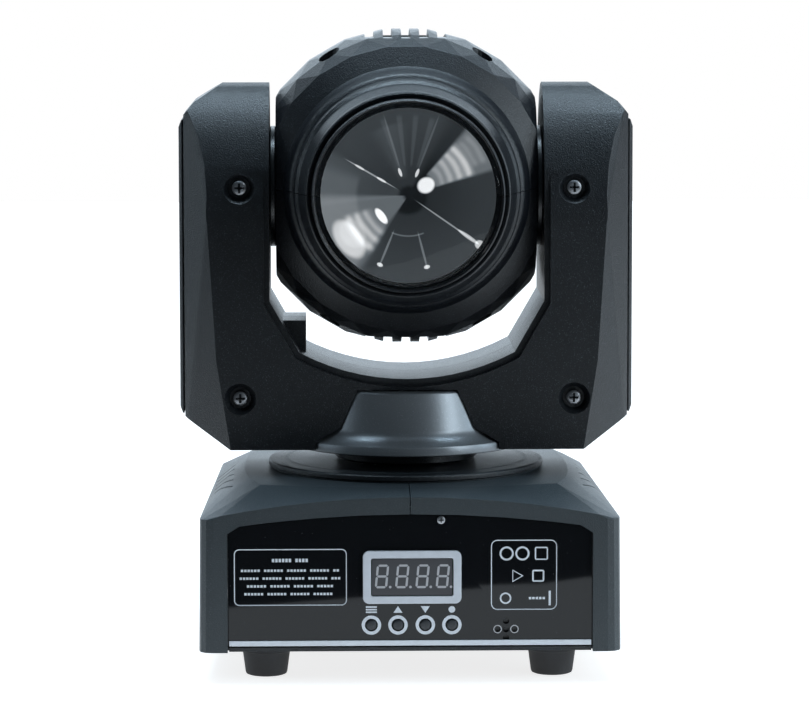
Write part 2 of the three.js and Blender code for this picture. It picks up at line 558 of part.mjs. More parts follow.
  for (const [side, sign] of [['left', -1], ['right', 1]]) {
    const outerEnd = sign < 0 ? -72 : 83.5;
    const along = (x) => sign * x;
    const [clampInner, clampOuter] = [along(44.5), along(47)];
    const [flangeInner, flangeOuter] = [along(HEAD_FLAT + GAP), along(53.1)];
    const profile = [[5.5, clampInner], [14, clampInner], [14, clampOuter], [AXLE_RADIUS, clampOuter],
      [AXLE_RADIUS, flangeInner], [19.5, flangeInner], [19.5, flangeOuter], [AXLE_RADIUS, flangeOuter],
      [AXLE_RADIUS, outerEnd], [5.5, outerEnd], [5.5, clampInner]];
    group.add(part(`tilt_axle_${side}`, turned('x', profile, 24), 'steel'));
    const well = sign * 30;
    const clampProfile = [[0, 46.8], [2.2, 46.7], [3.1, 46], [3.1, 44.3], [1.5, 44.3], [1.5, -11], [0, -11]];
    const clamp = turned('z', clampProfile, 14, [well, -10]);
    group.add(part(`head_screw_${side}`, clamp, 'steel'));
  }
  const tiltBig = TILT_TEETH[0] * TOOTH_RADIUS * 0.9;
  group.add(part('tilt_pulley', tube('x', AXLE_RADIUS + GAP, tiltBig, 78, 82.5, [0, 0], 28), 'aluminium'));
  return group;
}

const light = new THREE.Group();
light.add(makeBase(), makeYoke(), makeHead());
export default light;
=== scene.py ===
"""Moving head light: the finished model, built piece by piece on the packed frame.

Sizes are in millimetres unless a name says otherwise, and every piece is made in the frame's own place.
"""

from __future__ import annotations

import logging
import math
from dataclasses import dataclass
from enum import Enum
from typing import Callable, Iterable, Sequence

import bpy
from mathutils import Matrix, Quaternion, Vector

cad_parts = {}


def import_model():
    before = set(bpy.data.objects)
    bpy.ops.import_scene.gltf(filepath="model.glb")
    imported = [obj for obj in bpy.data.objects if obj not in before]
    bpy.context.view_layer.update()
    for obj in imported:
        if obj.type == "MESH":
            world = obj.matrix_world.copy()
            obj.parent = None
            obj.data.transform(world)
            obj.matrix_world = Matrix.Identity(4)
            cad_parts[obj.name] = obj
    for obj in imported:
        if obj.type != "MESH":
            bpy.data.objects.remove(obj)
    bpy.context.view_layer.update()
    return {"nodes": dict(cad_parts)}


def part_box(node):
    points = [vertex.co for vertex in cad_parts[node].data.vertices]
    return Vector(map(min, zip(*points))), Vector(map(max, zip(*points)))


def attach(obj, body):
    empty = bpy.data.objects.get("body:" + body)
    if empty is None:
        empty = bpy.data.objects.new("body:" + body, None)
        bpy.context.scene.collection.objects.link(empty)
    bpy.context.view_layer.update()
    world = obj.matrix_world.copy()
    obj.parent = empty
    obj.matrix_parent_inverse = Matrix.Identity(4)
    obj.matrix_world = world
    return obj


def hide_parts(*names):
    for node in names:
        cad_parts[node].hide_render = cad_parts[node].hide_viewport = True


LOG = logging.getLogger("moving_head_light")
MM = 0.001
MERGE_DISTANCE = 2e-6
OVERSHOOT = 1.0
SLIVER = 0.03 * MM
FLAT_ENOUGH = math.radians(0.8)
FULL_TURN = 2 * math.pi
SMOOTH_BELOW = 33.0
BUTTONS = ("button_menu", "button_up", "button_down", "button_enter")

Piece = bpy.types.Object
Material = bpy.types.Material
Colour = tuple[float, float, float]
Point2 = tuple[float, float]
Point3 = tuple[float, float, float]


class Axis(Enum):
    """A main direction of the frame."""

    X = (1.0, 0.0, 0.0)
    Y = (0.0, 1.0, 0.0)
    Z = (0.0, 0.0, 1.0)


class Slot(Enum):
    """The record's material slots."""

    SHELL = "shell_plastic"
    GLOSS = "gloss_black"
    PALE = "pale_plastic"
    DISPLAY = "display_face"
    HUB = "hub_satin"
    GLASS = "lens_glass"
    RUBBER = "black_rubber"
    ALUMINIUM = "bare_aluminium"
    STEEL = "steel"


# ---- Shader graphs written as expressions ----


def operation(kind: str, summary: str) -> Callable[..., "Signal"]:
    """A method that adds one Math node, which starts from its own signal."""

    def method(self: "Signal", *values: "Signal | float") -> "Signal":
        return self.graph.math(kind, self, *values)

    method.__doc__ = summary
    return method


class Signal:
    """A number that varies over a surface: a node socket with arithmetic."""

    def __init__(self, graph: "Graph", socket: bpy.types.NodeSocket) -> None:
        """Wraps one output socket of a graph."""
        self.graph = graph
        self.socket = socket

    __add__ = __radd__ = operation("ADD", "The sum.")
    __sub__ = operation("SUBTRACT", "The difference.")
    __mul__ = __rmul__ = operation("MULTIPLY", "The product.")
    __truediv__ = operation("DIVIDE", "The quotient.")
    __pow__ = operation("POWER", "This signal raised to a power.")
    size = operation("ABSOLUTE", "The absolute value.")
    root = operation("SQRT", "The square root.")
    cosine = operation("COSINE", "The cosine of an angle in radians.")
    most = operation("MAXIMUM", "The larger of two values.")

    def step(self, low: float, high: float) -> "Signal":
        """A smooth rise from 0 at low to 1 at high, or a fall where low is the larger."""
        settings = {"interpolation_type": "SMOOTHSTEP"}
        inputs = {"Value": self, "From Min": low, "From Max": high}
        return self.graph.node("ShaderNodeMapRange", settings, inputs)


Value = Signal | float | Sequence[float]


class Graph:
    """The node tree of one new material."""

    def __init__(self, name: str) -> None:
        """Starts a material with an empty tree.

        Args:
            name: the material's name.
        """
        self.material = bpy.data.materials.new(name)
        self.material.use_nodes = True
        self.tree = self.material.node_tree
        self.tree.nodes.clear()

    def node(
        self, kind: str, settings: dict | None = None, inputs: dict[str | int, Value] | None = None,
        output: str | int = 0,
    ) -> Signal:
        """Adds one node.

        Args:
            kind: the node's type.
            settings: its properties, set before its sockets.
            inputs: a value or a signal for each socket, by name or number.
            output: the output socket that is given back.

        Returns:
            The output as a signal.
        """
        made = self.tree.nodes.new(kind)
        for key, value in (settings or {}).items():
            setattr(made, key, value)
        for key, value in (inputs or {}).items():
            if isinstance(value, Signal):
                self.tree.links.new(value.socket, made.inputs[key])
            else:
                made.inputs[key].default_value = value
        return Signal(self, made.outputs[output])

    def math(self, operation: str, *values: Signal | float) -> Signal:
        """A Math node on signals and numbers."""
        return self.node("ShaderNodeMath", {"operation": operation}, dict(enumerate(values)))

    def place(self, centre: Point3 = (0.0, 0.0, 0.0)) -> Signal:
        """The surface point in metres, measured from a centre in millimetres."""
        point = self.node("ShaderNodeTexCoord", output="Object")
        inputs = {"Vector": point, "Location": [-c * MM for c in centre]}
        return self.node("ShaderNodeMapping", None, inputs)

    def part_of(self, vector: Signal, axis: Axis) -> Signal:
        """One coordinate of a vector."""
        return self.node("ShaderNodeSeparateXYZ", None, {"Vector": vector}, axis.name)

    def noise(self, scale: float, detail: float = 2.0, place: Signal | None = None) -> Signal:
        """A noise from 0 to 1, with features of about 1 / scale metres."""
        inputs = {"Vector": place or self.place(), "Scale": scale, "Detail": detail}
        return self.node("ShaderNodeTexNoise", None, inputs, "Fac")

    def blend(self, factor: Signal, low: Colour | Signal, high: Colour | Signal) -> Signal:
        """A colour between two colours."""
        ends = [c if isinstance(c, Signal) else (*c, 1.0) for c in (low, high)]
        inputs = {0: factor, 6: ends[0], 7: ends[1]}
        return self.node("ShaderNodeMix", {"data_type": "RGBA"}, inputs, 2)

    def bump(self, height: Signal, distance: float) -> Signal:
        """The surface normal, raised and sunk by a height from 0 to 1 over a distance in millimetres."""
        inputs = {"Height": height, "Distance": distance * MM, "Strength": 1.0}
        return self.node("ShaderNodeBump", None, inputs, "Normal")

    def surface(self, inputs: dict[str, Value]) -> Material:
        """Ends the tree in a Principled BSDF and an output, and gives the material back."""
        shader = self.node("ShaderNodeBsdfPrincipled", None, inputs)
        end = self.tree.nodes.new("ShaderNodeOutputMaterial")
        self.tree.links.new(shader.socket, end.inputs["Surface"])
        return self.material


# ---- Finishes ----


def shade(colour: Colour, factor: float) -> Colour:
    """A colour made lighter or darker."""
    return tuple(min(1.0, c * factor) for c in colour)


@dataclass(frozen=True)
class Finish:
    """A named look that is made into one material."""

    name: str

    def inputs(self, graph: Graph) -> dict[str, Value]:
        """The values and signals of its surface."""
        raise NotImplementedError

    def make(self) -> Material:
        """Builds the material."""
        graph = Graph(self.name)
        return graph.surface(self.inputs(graph))


@dataclass(frozen=True)
class MouldedPlastic(Finish):
    """Moulded plastic with a spark-eroded grain that catches the light in small points."""

    colour: Colour
    roughness: float = 0.42
    grain_height: float = 0.1
    grain_per_metre: float = 2000.0
    painted_sparkle: Colour = (0.2, 0.23, 0.26)
    painted_sparkle_share: float = 0.5
    metallic: float = 0.0

    def inputs(self, graph: Graph) -> dict[str, Value]:
        """The values and signals of its surface."""
        grain = graph.noise(self.grain_per_metre, 3.0)
        patch = graph.noise(28.0, 3.0)
        # Painted sparkle: a sparse mask of lighter points, blended into the colour as small painted
        # highlights.
        painted_sparkle = graph.noise(self.grain_per_metre * 1.3, 1.0).step(0.63, 0.72)
        tint = graph.blend(patch, shade(self.colour, 0.85), shade(self.colour, 1.16))
        colour = graph.blend(painted_sparkle * self.painted_sparkle_share, tint, self.painted_sparkle)
        return {
            "Base Color": colour,
            "Roughness": self.roughness + (patch - 0.5) * 0.1 + (grain - 0.5) * 0.24,
            "Normal": graph.bump(grain, self.grain_height),
            "Metallic": self.metallic,
        }


@dataclass(frozen=True)
class GlossSheet(Finish):
    """A glossy sheet with faint dust and polishing haze."""

    colour: Colour
    roughness: float = 0.03
    haze: float = 0.02
    specular: float = 0.34

    def inputs(self, graph: Graph) -> dict[str, Value]:
        """The values and signals of its surface."""
        haze = graph.noise(60.0, 4.0)
        dust = graph.noise(1500.0, 0.0).step(0.82, 0.87)
        colour = graph.blend(dust * 0.25, self.colour, (0.16, 0.17, 0.18))
        return {
            "Base Color": colour,
            "Roughness": self.roughness + haze * self.haze + dust * 0.3,
            "Normal": graph.bump(graph.noise(9.0, 1.0), 0.004),
            "Specular IOR Level": self.specular,
        }


@dataclass(frozen=True)
class Print(Finish):
    """Screen-printed ink or a plain light plastic, slightly uneven."""

    colour: Colour
    roughness: float = 0.5

    def inputs(self, graph: Graph) -> dict[str, Value]:
        """The values and signals of its surface."""
        cloud = graph.noise(420.0, 4.0)
        grain = graph.noise(3200.0)
        return {
            "Base Color": graph.blend(cloud, shade(self.colour, 0.88), shade(self.colour, 1.06)),
            "Roughness": self.roughness + (cloud - 0.5) * 0.16,
            "Normal": graph.bump(grain, 0.012),
        }


@dataclass(frozen=True)
class Rubber(Finish):
    """Matt rubber with a fine powdery bloom."""

    colour: Colour

    def inputs(self, graph: Graph) -> dict[str, Value]:
        """The values and signals of its surface."""
        bloom = graph.noise(90.0, 5.0)
        grain = graph.noise(1900.0, 2.0)
        return {
            "Base Color": graph.blend(bloom.step(0.35, 0.8), self.colour, shade(self.colour, 1.9)),
            "Roughness": 0.62 + bloom * 0.2,
            "Normal": graph.bump(grain, 0.06),
        }


@dataclass(frozen=True)
class Metal(Finish):
    """Bare or plated metal with fine tool marks and slight staining."""

    colour: Colour
    roughness: float = 0.3
    marks_along: Axis = Axis.X

    def inputs(self, graph: Graph) -> dict[str, Value]:
        """The values and signals of its surface."""
        stretch = [60.0 if axis is self.marks_along else 2400.0 for axis in Axis]
        point = graph.node("ShaderNodeMapping", None, {"Vector": graph.place(), "Scale": stretch})
        marks = graph.noise(1.0, 3.0, point)
        stain = graph.noise(55.0, 4.0)
        return {
            "Base Color": graph.blend(stain, shade(self.colour, 0.78), self.colour),
            "Roughness": self.roughness + (marks - 0.5) * 0.2 + stain * 0.08,
            "Metallic": 1.0,
            "Normal": graph.bump(marks, 0.02),
        }


@dataclass(frozen=True)
class CircuitBoard(Finish):
    """A lacquered board with copper tracks under the lacquer."""

    colour: Colour

    def inputs(self, graph: Graph) -> dict[str, Value]:
        """The values and signals of its surface."""
        inputs = {"Vector": graph.place(), "Scale": 320.0, "Mortar Size": 0.05}
        track = graph.node("ShaderNodeTexBrick", {"offset": 0.5}, inputs, "Fac")
        mottling = graph.noise(300.0)
        colour = graph.blend(track, self.colour, shade(self.colour, 2.2))
        return {
            "Base Color": graph.blend(mottling * 0.3, colour, shade(self.colour, 0.6)),
            "Roughness": 0.3 + mottling * 0.15,
            "Normal": graph.bump(track, 0.04),
        }


@dataclass(frozen=True)
class LensGlass(Finish):
    """Clear polished glass."""

    refraction: float = 1.22

    def inputs(self, graph: Graph) -> dict[str, Value]:
        """The values and signals of its surface."""
        smear = graph.noise(45.0, 3.0)
        return {
            "Base Color": graph.blend(smear, (0.9, 0.93, 0.94), (0.97, 0.98, 0.98)),
            "Roughness": smear.step(0.5, 0.9) * 0.02,
            "Transmission Weight": 1.0,
            "IOR": self.refraction,
        }


@dataclass(frozen=True)
class Glint:
    """One reflected light in the optic, placed by its angle from +X and its share of the radius."""

    angle: float
    reach: float
    across: float
    along: float
    strength: float

    def draw(self, graph: Graph, x: Signal, z: Signal) -> Signal:
        """A soft-edged oval whose long axis runs along the radius.

        Args:
            graph: the material's graph.
            x: the place to the right, as a share of the optic's radius.
            z: the place upwards, as a share of the optic's radius.

        Returns:
            The glint's brightness.
        """
        turn = math.radians(self.angle)
        forward = x * math.cos(turn) + z * math.sin(turn) - self.reach
        sideways = z * math.cos(turn) - x * math.sin(turn)
        distance = (forward / self.along) ** 2 + (sideways / self.across) ** 2
        return distance.step(1.25, 0.55) * self.strength


@dataclass(frozen=True)
class Wedge:
    """A sector of the optic that mirrors a lighter or darker part of the room."""

    start: float
    end: float
    inner: float
    outer: float
    strength: float
    soft: float = 3.0

    def draw(self, graph: Graph, angle: Signal, reach: Signal) -> Signal:
        """A sector between two angles and two radii, as a brightness."""
        middle, half = (self.start + self.end) / 2, (self.end - self.start) / 2
        turn = graph.math("WRAP", angle - middle, 180.0, -180.0).size()
        inside = turn.step(half + self.soft / 2, half - self.soft / 2)
        fade = 0.03
        beyond = reach.step(self.inner - fade, self.inner + fade)
        within = reach.step(self.outer + fade, self.outer - fade)
        return inside * (beyond * within) * self.strength


@dataclass(frozen=True)
class PaintedOpticReflection(Finish):
    """What a faceted reflector shows through the lens: sectors, fans of arcs and thin glints."""

    centre: Point3
    radius: float
    wedges: tuple[Wedge, ...] = (
        Wedge(62, 150, 0.1, 1.1, 0.03, 16.0),
        Wedge(150, 184, 0.1, 1.1, 0.055, 9.0),
        Wedge(181, 235, 0.05, 1.1, 0.16, 9.0),
        Wedge(160, 236, 0.55, 1.1, 0.06, 14.0),
        Wedge(17, 49, 0.3, 1.1, 0.16, 4.0),
        Wedge(235, 325, 0.2, 1.1, 0.028, 2.5),
        Wedge(325, 377, 0.2, 1.1, 0.016, 4.0),
        Wedge(96, 118, 0.2, 0.78, 0.03, 16.0),
    )
    fans: tuple[Wedge, ...] = (
        Wedge(18, 48, 0.29, 0.74, 0.42, 5.0),
        Wedge(199, 236, 0.42, 0.74, 0.4, 8.0),
        Wedge(24, 46, 0.74, 0.93, 0.1, 5.0),
    )
    glints: tuple[Glint, ...] = (
        Glint(30, 0.215, 0.085, 0.095, 0.95),
        Glint(217, 0.36, 0.1, 0.042, 0.95),
        Glint(216, 0.79, 0.24, 0.14, 0.42),
        Glint(214, 0.72, 0.17, 0.14, 0.1),
        Glint(149.7, 0.46, 0.009, 0.32, 0.3),
        Glint(149.7, 0.33, 0.014, 0.06, 0.5),
        Glint(149.7, 0.6, 0.014, 0.06, 0.4),
        Glint(-34.7, 0.5, 0.009, 0.4, 0.28),
        Glint(-34.7, 0.78, 0.022, 0.14, 0.45),
        Glint(-34.7, 0.93, 0.05, 0.055, 0.55),
        Glint(109.5, 0.26, 0.017, 0.05, 0.65),
        Glint(68.5, 0.255, 0.017, 0.05, 0.65),
        Glint(247.5, 0.8, 0.034, 0.022, 0.7),
        Glint(247.5, 0.62, 0.012, 0.22, 0.16),
        Glint(284.5, 0.79, 0.034, 0.022, 0.7),
        Glint(284.5, 0.62, 0.012, 0.22, 0.16),
        Glint(107, 0.6, 0.012, 0.32, 0.06),
        Glint(69, 0.6, 0.012, 0.34, 0.07),
    )

    def inputs(self, graph: Graph) -> dict[str, Value]:
        """The values and signals of its surface."""
        point = graph.place(self.centre)
        x = graph.part_of(point, Axis.X) / (self.radius * MM)
        z = graph.part_of(point, Axis.Z) / (self.radius * MM)
        reach = (x * x + z * z).root()
        angle = graph.math("ARCTAN2", z, x) * math.degrees(1.0)
        # Painted reflection: the emitted light is summed from painted sectors, fans of arcs and glints.
        light = reach.step(0.05, 1.0) * 0.03 + 0.008
        for wedge in self.wedges:
            light = light + wedge.draw(graph, angle, reach)
        arcs = (reach * 62.0 + graph.noise(120.0, place=point) * 3.0).cosine() * 0.3 + 0.7
        for fan in self.fans:
            light = light + fan.draw(graph, angle, reach) * arcs * reach.step(0.1, 0.75)
        spokes = (angle * 0.52).cosine().step(0.1, 1.0)
        light = light + Wedge(66, 112, 0.32, 0.86, 0.035, 10.0).draw(graph, angle, reach) * spokes
        for glint in self.glints:
            light = light + glint.draw(graph, x, z)
        arc = Wedge(246, 292, 0.2, 0.7, 0.14).draw(graph, angle, reach)
        rings = (reach - 0.43).size().step(0.014, 0.0) * arc
        bands = (graph.noise(160.0, 4.0, point) - 0.5) * 0.12 + 1.0
        light = ((light + rings) * bands).most(0.004)
        tint = graph.blend(light.step(0.0, 0.6), (0.62, 0.72, 0.8), (0.97, 0.98, 1.0))
        inputs = {"Vector": tint, "Scale": light}
        scaled = graph.node("ShaderNodeVectorMath", {"operation": "SCALE"}, inputs)
        return {
            "Base Color": (0.015, 0.016, 0.018, 1.0),
            "Roughness": 0.5 + bands * 0.02,
            "Specular IOR Level": 0.0,
            "Emission Color": scaled,
            "Emission Strength": 1.0,
        }


FINISHES = (
    MouldedPlastic("shell_grain", (0.004, 0.0055, 0.0075), roughness=0.38, grain_height=0.22, painted_sparkle_share=0.22),
    MouldedPlastic("base_grain", (0.02, 0.028, 0.033), roughness=0.44, grain_height=0.2, painted_sparkle_share=0.25),
    MouldedPlastic("head_grain", (0.003, 0.004, 0.006), roughness=0.34, grain_height=0.15, painted_sparkle_share=0.2),
    MouldedPlastic(
        "fine_satin", (0.21, 0.225, 0.24), roughness=0.34, grain_height=0.03, painted_sparkle=(0.5, 0.52, 0.55),
        painted_sparkle_share=0.25, metallic=0.6,
    ),
    # A dark plastic for dark parts, also given to pieces that are painted shade.
    MouldedPlastic("dark_plastic_and_painted_shade", (0.004, 0.005, 0.006), roughness=0.3, grain_height=0.03, painted_sparkle_share=0.1),
    MouldedPlastic("button_grey", (0.02, 0.023, 0.027), roughness=0.45, grain_height=0.02, painted_sparkle_share=0.2),
    GlossSheet("panel_gloss", (0.004, 0.0045, 0.0055)),
    GlossSheet("display_window", (0.055, 0.055, 0.06), roughness=0.3),
    GlossSheet("socket_gloss", (0.008, 0.008, 0.009), roughness=0.25),
    Print("bezel_pale", (0.55, 0.58, 0.63), 0.45),
    Print("ink_pale", (0.62, 0.66, 0.71), 0.5),
    Print("segment_pale", (0.42, 0.42, 0.44), 0.4),
    Rubber("rubber_black", (0.017, 0.018, 0.02)),
    Metal("screw_steel", (0.4, 0.41, 0.43), 0.36),
    Metal("zinc_steel", (0.55, 0.56, 0.58), 0.34),
    Metal("bare_alloy", (0.78, 0.79, 0.8), 0.36, Axis.Y),
    CircuitBoard("green_board", (0.012, 0.1, 0.04)),
    LensGlass("clear_lens"),
)


class FinishShelf:
    """The finishes by name, each made once."""

    def __init__(self) -> None:
        """Makes every finish's material."""
        self._made = {finish.name: finish.make() for finish in FINISHES}

    def add(self, finish: Finish) -> None:
        """Makes one more finish, whose place comes from the frame."""
        self._made[finish.name] = finish.make()

    def put(self, piece: Piece, name: str) -> None:
        """Gives every face of a piece one finish."""
        piece.data.materials.clear()
        piece.data.materials.append(self._made[name])
        for face in piece.data.polygons:
            face.material_index = 0


# ---- Modelling steps ----


def clear_selection() -> None:
    """Deselects every object."""
    bpy.ops.object.select_all(action="DESELECT")


def hold(piece: Piece) -> None:
    """Makes one piece the only selected and the active one."""
    clear_selection()
    piece.select_set(True)
    bpy.context.view_layer.objects.active = piece


def edit(piece: Piece, *steps: Callable[[], object]) -> None:
    """Runs steps in edit mode on the whole of a piece.

    Args:
        piece: the piece to shape.
        steps: calls that each act on what is selected, which at first is everything.
    """
    hold(piece)
    bpy.ops.object.mode_set(mode="EDIT")
    bpy.ops.mesh.select_mode(type="VERT")
    bpy.ops.mesh.select_all(action="SELECT")
    for step in steps:
        step()
    bpy.ops.object.mode_set(mode="OBJECT")


def merge_all() -> None:
    """Joins points that lie on each other and turns the faces outwards."""
    bpy.ops.mesh.select_all(action="SELECT")
    bpy.ops.mesh.remove_doubles(threshold=MERGE_DISTANCE)
    bpy.ops.mesh.normals_make_consistent(inside=False)


def modify(piece: Piece, kind: str, **settings: object) -> None:
    """Adds a modifier with its settings and applies it."""
    hold(piece)
    modifier = piece.modifiers.new(kind.title(), kind)
    for key, value in settings.items():
        setattr(modifier, key, value)
    bpy.ops.object.modifier_apply(modifier=modifier.name)


def round_edges(piece: Piece, width: float, angle: float) -> None:
    """Rounds the edges that are sharper than an angle, by a width in millimetres."""
    modify(
        piece, "BEVEL", width=width * MM, segments=2, limit_method="ANGLE",
        angle_limit=math.radians(angle), use_clamp_overlap=True, miter_outer="MITER_ARC",
    )


def smooth(piece: Piece, angle: float = 32.0) -> None:
    """Shades a piece smooth, except across edges sharper than an angle."""
    hold(piece)
    bpy.ops.object.shade_smooth_by_angle(angle=math.radians(angle))
    modify(piece, "WEIGHTED_NORMAL", keep_sharp=True)


def box_of(node: str) -> tuple[Vector, Vector]:
    """The low and high corners of a frame node, in millimetres."""
    low, high = (Vector(corner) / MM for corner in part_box(node))
    return low, high


def middle_of(low: Vector, high: Vector) -> Point2:
    """A box's middle, in X and Z."""
    return ((low.x + high.x) / 2, (low.z + high.z) / 2)


def path(name: str, points: Sequence[Point3]) -> Piece:
    """An open line of edges, drawn point by point.

    Args:
        name: the piece's name.
        points: the places of its corners, in millimetres.

    Returns:
        The new object, with its origin at the frame's.
    """
    clear_selection()
    bpy.ops.mesh.primitive_plane_add(size=MM, location=(0.0, 0.0, 0.0))
    piece = bpy.context.active_object
    piece.name = name
    piece.data.name = name
    corners = [Vector(point) * MM for point in points]
    bpy.ops.object.mode_set(mode="EDIT")
    bpy.ops.mesh.select_mode(type="VERT")
    bpy.ops.mesh.select_all(action="SELECT")
    bpy.ops.mesh.merge(type="CENTER")
    bpy.ops.transform.translate(value=corners[0])
    for before, after in zip(corners, corners[1:]):
        bpy.ops.mesh.extrude_region_move(TRANSFORM_OT_translate={"value": after - before})
    bpy.ops.object.mode_set(mode="OBJECT")
    return piece


def in_plane(axis: Axis, a: float, b: float, along: float) -> Point3:
    """A point from its two coordinates across an axis and the one along it."""
    if axis is Axis.X:
        return (along, a, b)
    if axis is Axis.Y:
        return (a, along, b)
    return (a, b, along)


def turned(
    name: str, axis: Axis, profile: Sequence[Point2], centre: Point2 = (0.0, 0.0), steps: int = 96,
) -> Piece:
    """A body of revolution.

    Args:
        name: the piece's name.
        axis: the direction of the axis that it is turned about.
        profile: places of radius and height along the axis; it ends on the axis, or closes on itself.
        centre: the axis's place, in the two coordinates across it.
        steps: the number of sides.

    Returns:
        The closed, smooth-shaded piece.
    """
    a, b = centre
    points = [in_plane(axis, a + radius, b, along) for radius, along in profile]
    piece = path(name, points)
    pivot = Vector(in_plane(axis, a, b, 0.0)) * MM
    edit(
        piece,
        lambda: bpy.ops.mesh.spin(steps=steps, angle=FULL_TURN, center=pivot, axis=axis.value),
        merge_all,
    )
    smooth(piece)
    return piece


def plate(
    name: str, axis: Axis, outline: Sequence[Point2], start: float, end: float,
) -> Piece:
    """A flat outline given a thickness.

    Args:
        name: the piece's name.
        axis: the direction of the thickness.
        outline: corners in the two coordinates across the axis.
        start: where the thickness starts, along the axis.
        end: where it ends.

    Returns:
        The closed piece.
    """
    corners = [in_plane(axis, a, b, start) for a, b in outline]
    piece = path(name, [*corners, corners[0]])
    depth = Vector(axis.value) * (end - start) * MM
    edit(
        piece,
        lambda: bpy.ops.mesh.remove_doubles(threshold=MERGE_DISTANCE),
        bpy.ops.mesh.edge_face_add,
        lambda: bpy.ops.mesh.extrude_region_move(TRANSFORM_OT_translate={"value": depth}),
        merge_all,
    )
    smooth(piece)
    return piece


def subtract(piece: Piece, tool: Piece) -> None:
    """Cuts a tool out of a piece and removes the tool."""
    modify(piece, "BOOLEAN", operation="DIFFERENCE", object=tool, solver="EXACT")
    bpy.data.objects.remove(tool)


def keep_side(piece: Piece, axis: Axis, place: float, above: bool) -> None:
    """Cuts a piece on a plane and keeps one closed side of it.

    Args:
        piece: the piece to cut.
        axis: the plane's normal.
        place: where the plane lies along the axis, in millimetres.
        above: whether the side further along the axis is kept.
    """
    point = Vector(axis.value) * place * MM
    edit(
        piece,
        lambda: bpy.ops.mesh.bisect(
            plane_co=point, plane_no=axis.value, use_fill=True, clear_inner=above, clear_outer=not above,
        ),
        merge_all,
    )
    smooth(piece)


def joined(name: str, pieces: Sequence[Piece]) -> Piece:
    """Several pieces made one."""
    hold(pieces[0])
    for piece in pieces:
        piece.select_set(True)
    if len(pieces) > 1:
        bpy.ops.object.join()
    whole = bpy.context.active_object
    whole.name = name
    whole.data.name = name
    return whole


def rectangle(low: Point2, high: Point2) -> list[Point2]:
    """A rectangle's corners, anticlockwise from its lowest."""
    return [low, (high[0], low[1]), high, (low[0], high[1])]


def rounded_outline(
    width: float, height: float, radius: float, centre: Point2, steps: int = 5,
) -> list[Point2]:
    """A rectangle with round corners.

    Args:
        width: its whole width.
        height: its whole height.
        radius: the corner radius.
        centre: its middle.
        steps: the number of sides in each corner.

    Returns:
        Its corners, anticlockwise.
    """
    outline = []
    for quarter, (side, up) in enumerate([(1, 1), (-1, 1), (-1, -1), (1, -1)]):
        for step in range(steps + 1):
            angle = (quarter + step / steps) * math.pi / 2
            outline.append((
                centre[0] + side * (width / 2 - radius) + radius * math.cos(angle),
                centre[1] + up * (height / 2 - radius) + radius * math.sin(angle),
            ))
    return outline


# ---- Sub-assemblies ----


@dataclass
class Unit:
    """A sub-assembly: its pieces ride on one body and take their places from the frame's nodes."""

    shelf: FinishShelf
    nodes: dict[str, Piece]
    body: str = "base"

    def fit(
        self, piece: Piece, finish: str, slot: Slot, stands_for: Iterable[str] = (), body: str = "",
    ) -> Piece:
        """Dresses a finished piece and puts it on its body.

        Args:
            piece: the finished mesh object.
            finish: the name of its finish.
            slot: the material slot that it belongs to.
            stands_for: the frame's nodes that it is shown in place of.
            body: the body it rides on, where that isn't the unit's own.

        Returns:
            The same piece.
        """
        self.shelf.put(piece, finish)
        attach(piece, body or self.body)
        if stands_for:
            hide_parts(*stands_for)
        LOG.info("%s: %d faces on %s", piece.name, len(piece.data.polygons), body or self.body)
        return piece

    def dress(self, names: str, finish: str) -> None:
        """Gives nodes that keep their own shape a finish; the names are divided by spaces."""
        for name in names.split():
            self.shelf.put(self.nodes[name], finish)
            LOG.info("%s: dressed in %s", name, finish)

    def refined(
        self, node: str, finish: str, slot: Slot, rounding: float, angle: float = 24.0,
    ) -> Piece:
        """A node's shape with its edges rounded and its curves smooth.

        Args:
            node: the frame's node.
            finish: the name of its finish.
            slot: the material slot that it belongs to.
            rounding: the width of its rounded edges.
            angle: the angle from which an edge is rounded.

        Returns:
            The piece that stands for the node.
        """
        copy = bpy.data.objects.new(f"{node}_moulded", self.nodes[node].data.copy())
        copy.data.name = copy.name
        bpy.context.collection.objects.link(copy)
        edit(
            copy,
            lambda: bpy.ops.mesh.remove_doubles(threshold=SLIVER),
            lambda: bpy.ops.mesh.dissolve_limited(angle_limit=FLAT_ENOUGH),
        )
        round_edges(copy, rounding, angle)
        smooth(copy, SMOOTH_BELOW)
        return self.fit(copy, finish, slot, [node])

    def cross_screw(self, name: str, node: str, radius: float, dome: float) -> Piece:
        """A round-headed screw with a cross recess, facing forward at a node's place.

        Args:
            name: the piece's name.
            node: the screw's node in the frame.
            radius: the head's radius.
            dome: how far the head is crowned.

        Returns:
            The piece that stands for the node.
        """
        low, high = box_of(node)
        centre = middle_of(low, high)
        face, end = low.y, high.y
        profile = [(0.0, face)]
        for step in range(1, 5):
            share = step / 5
            profile.append((radius * share, face + dome * share**2))
        under = face + 0.36 * radius + dome
        shank = radius * 0.55
        profile += [(radius * 0.94, face + dome), (radius, face + dome * 1.4), (radius, under)]
        profile += [(shank, under), (shank, end), (0.0, end)]
        screw = turned(name, Axis.Y, profile, centre, 40)
        for wide, tall in ((0.66, 0.16), (0.16, 0.66)):
            outline = [
                (centre[0] + side * wide * radius, centre[1] + up * tall * radius)
                for side, up in ((1, 1), (-1, 1), (-1, -1), (1, -1))
            ]
            floor = face + 0.3 * radius
            subtract(screw, plate("recess", Axis.Y, outline, face - OVERSHOOT, floor))
            bar = "wide" if wide > tall else "tall"
            shadow = plate(f"{name}_shadow_{bar}", Axis.Y, outline, floor - 0.25, floor)
            self.fit(shadow, "dark_plastic_and_painted_shade", Slot.SHELL)
        smooth(screw, 30.0)
        return self.fit(screw, "screw_steel", Slot.STEEL, [node])


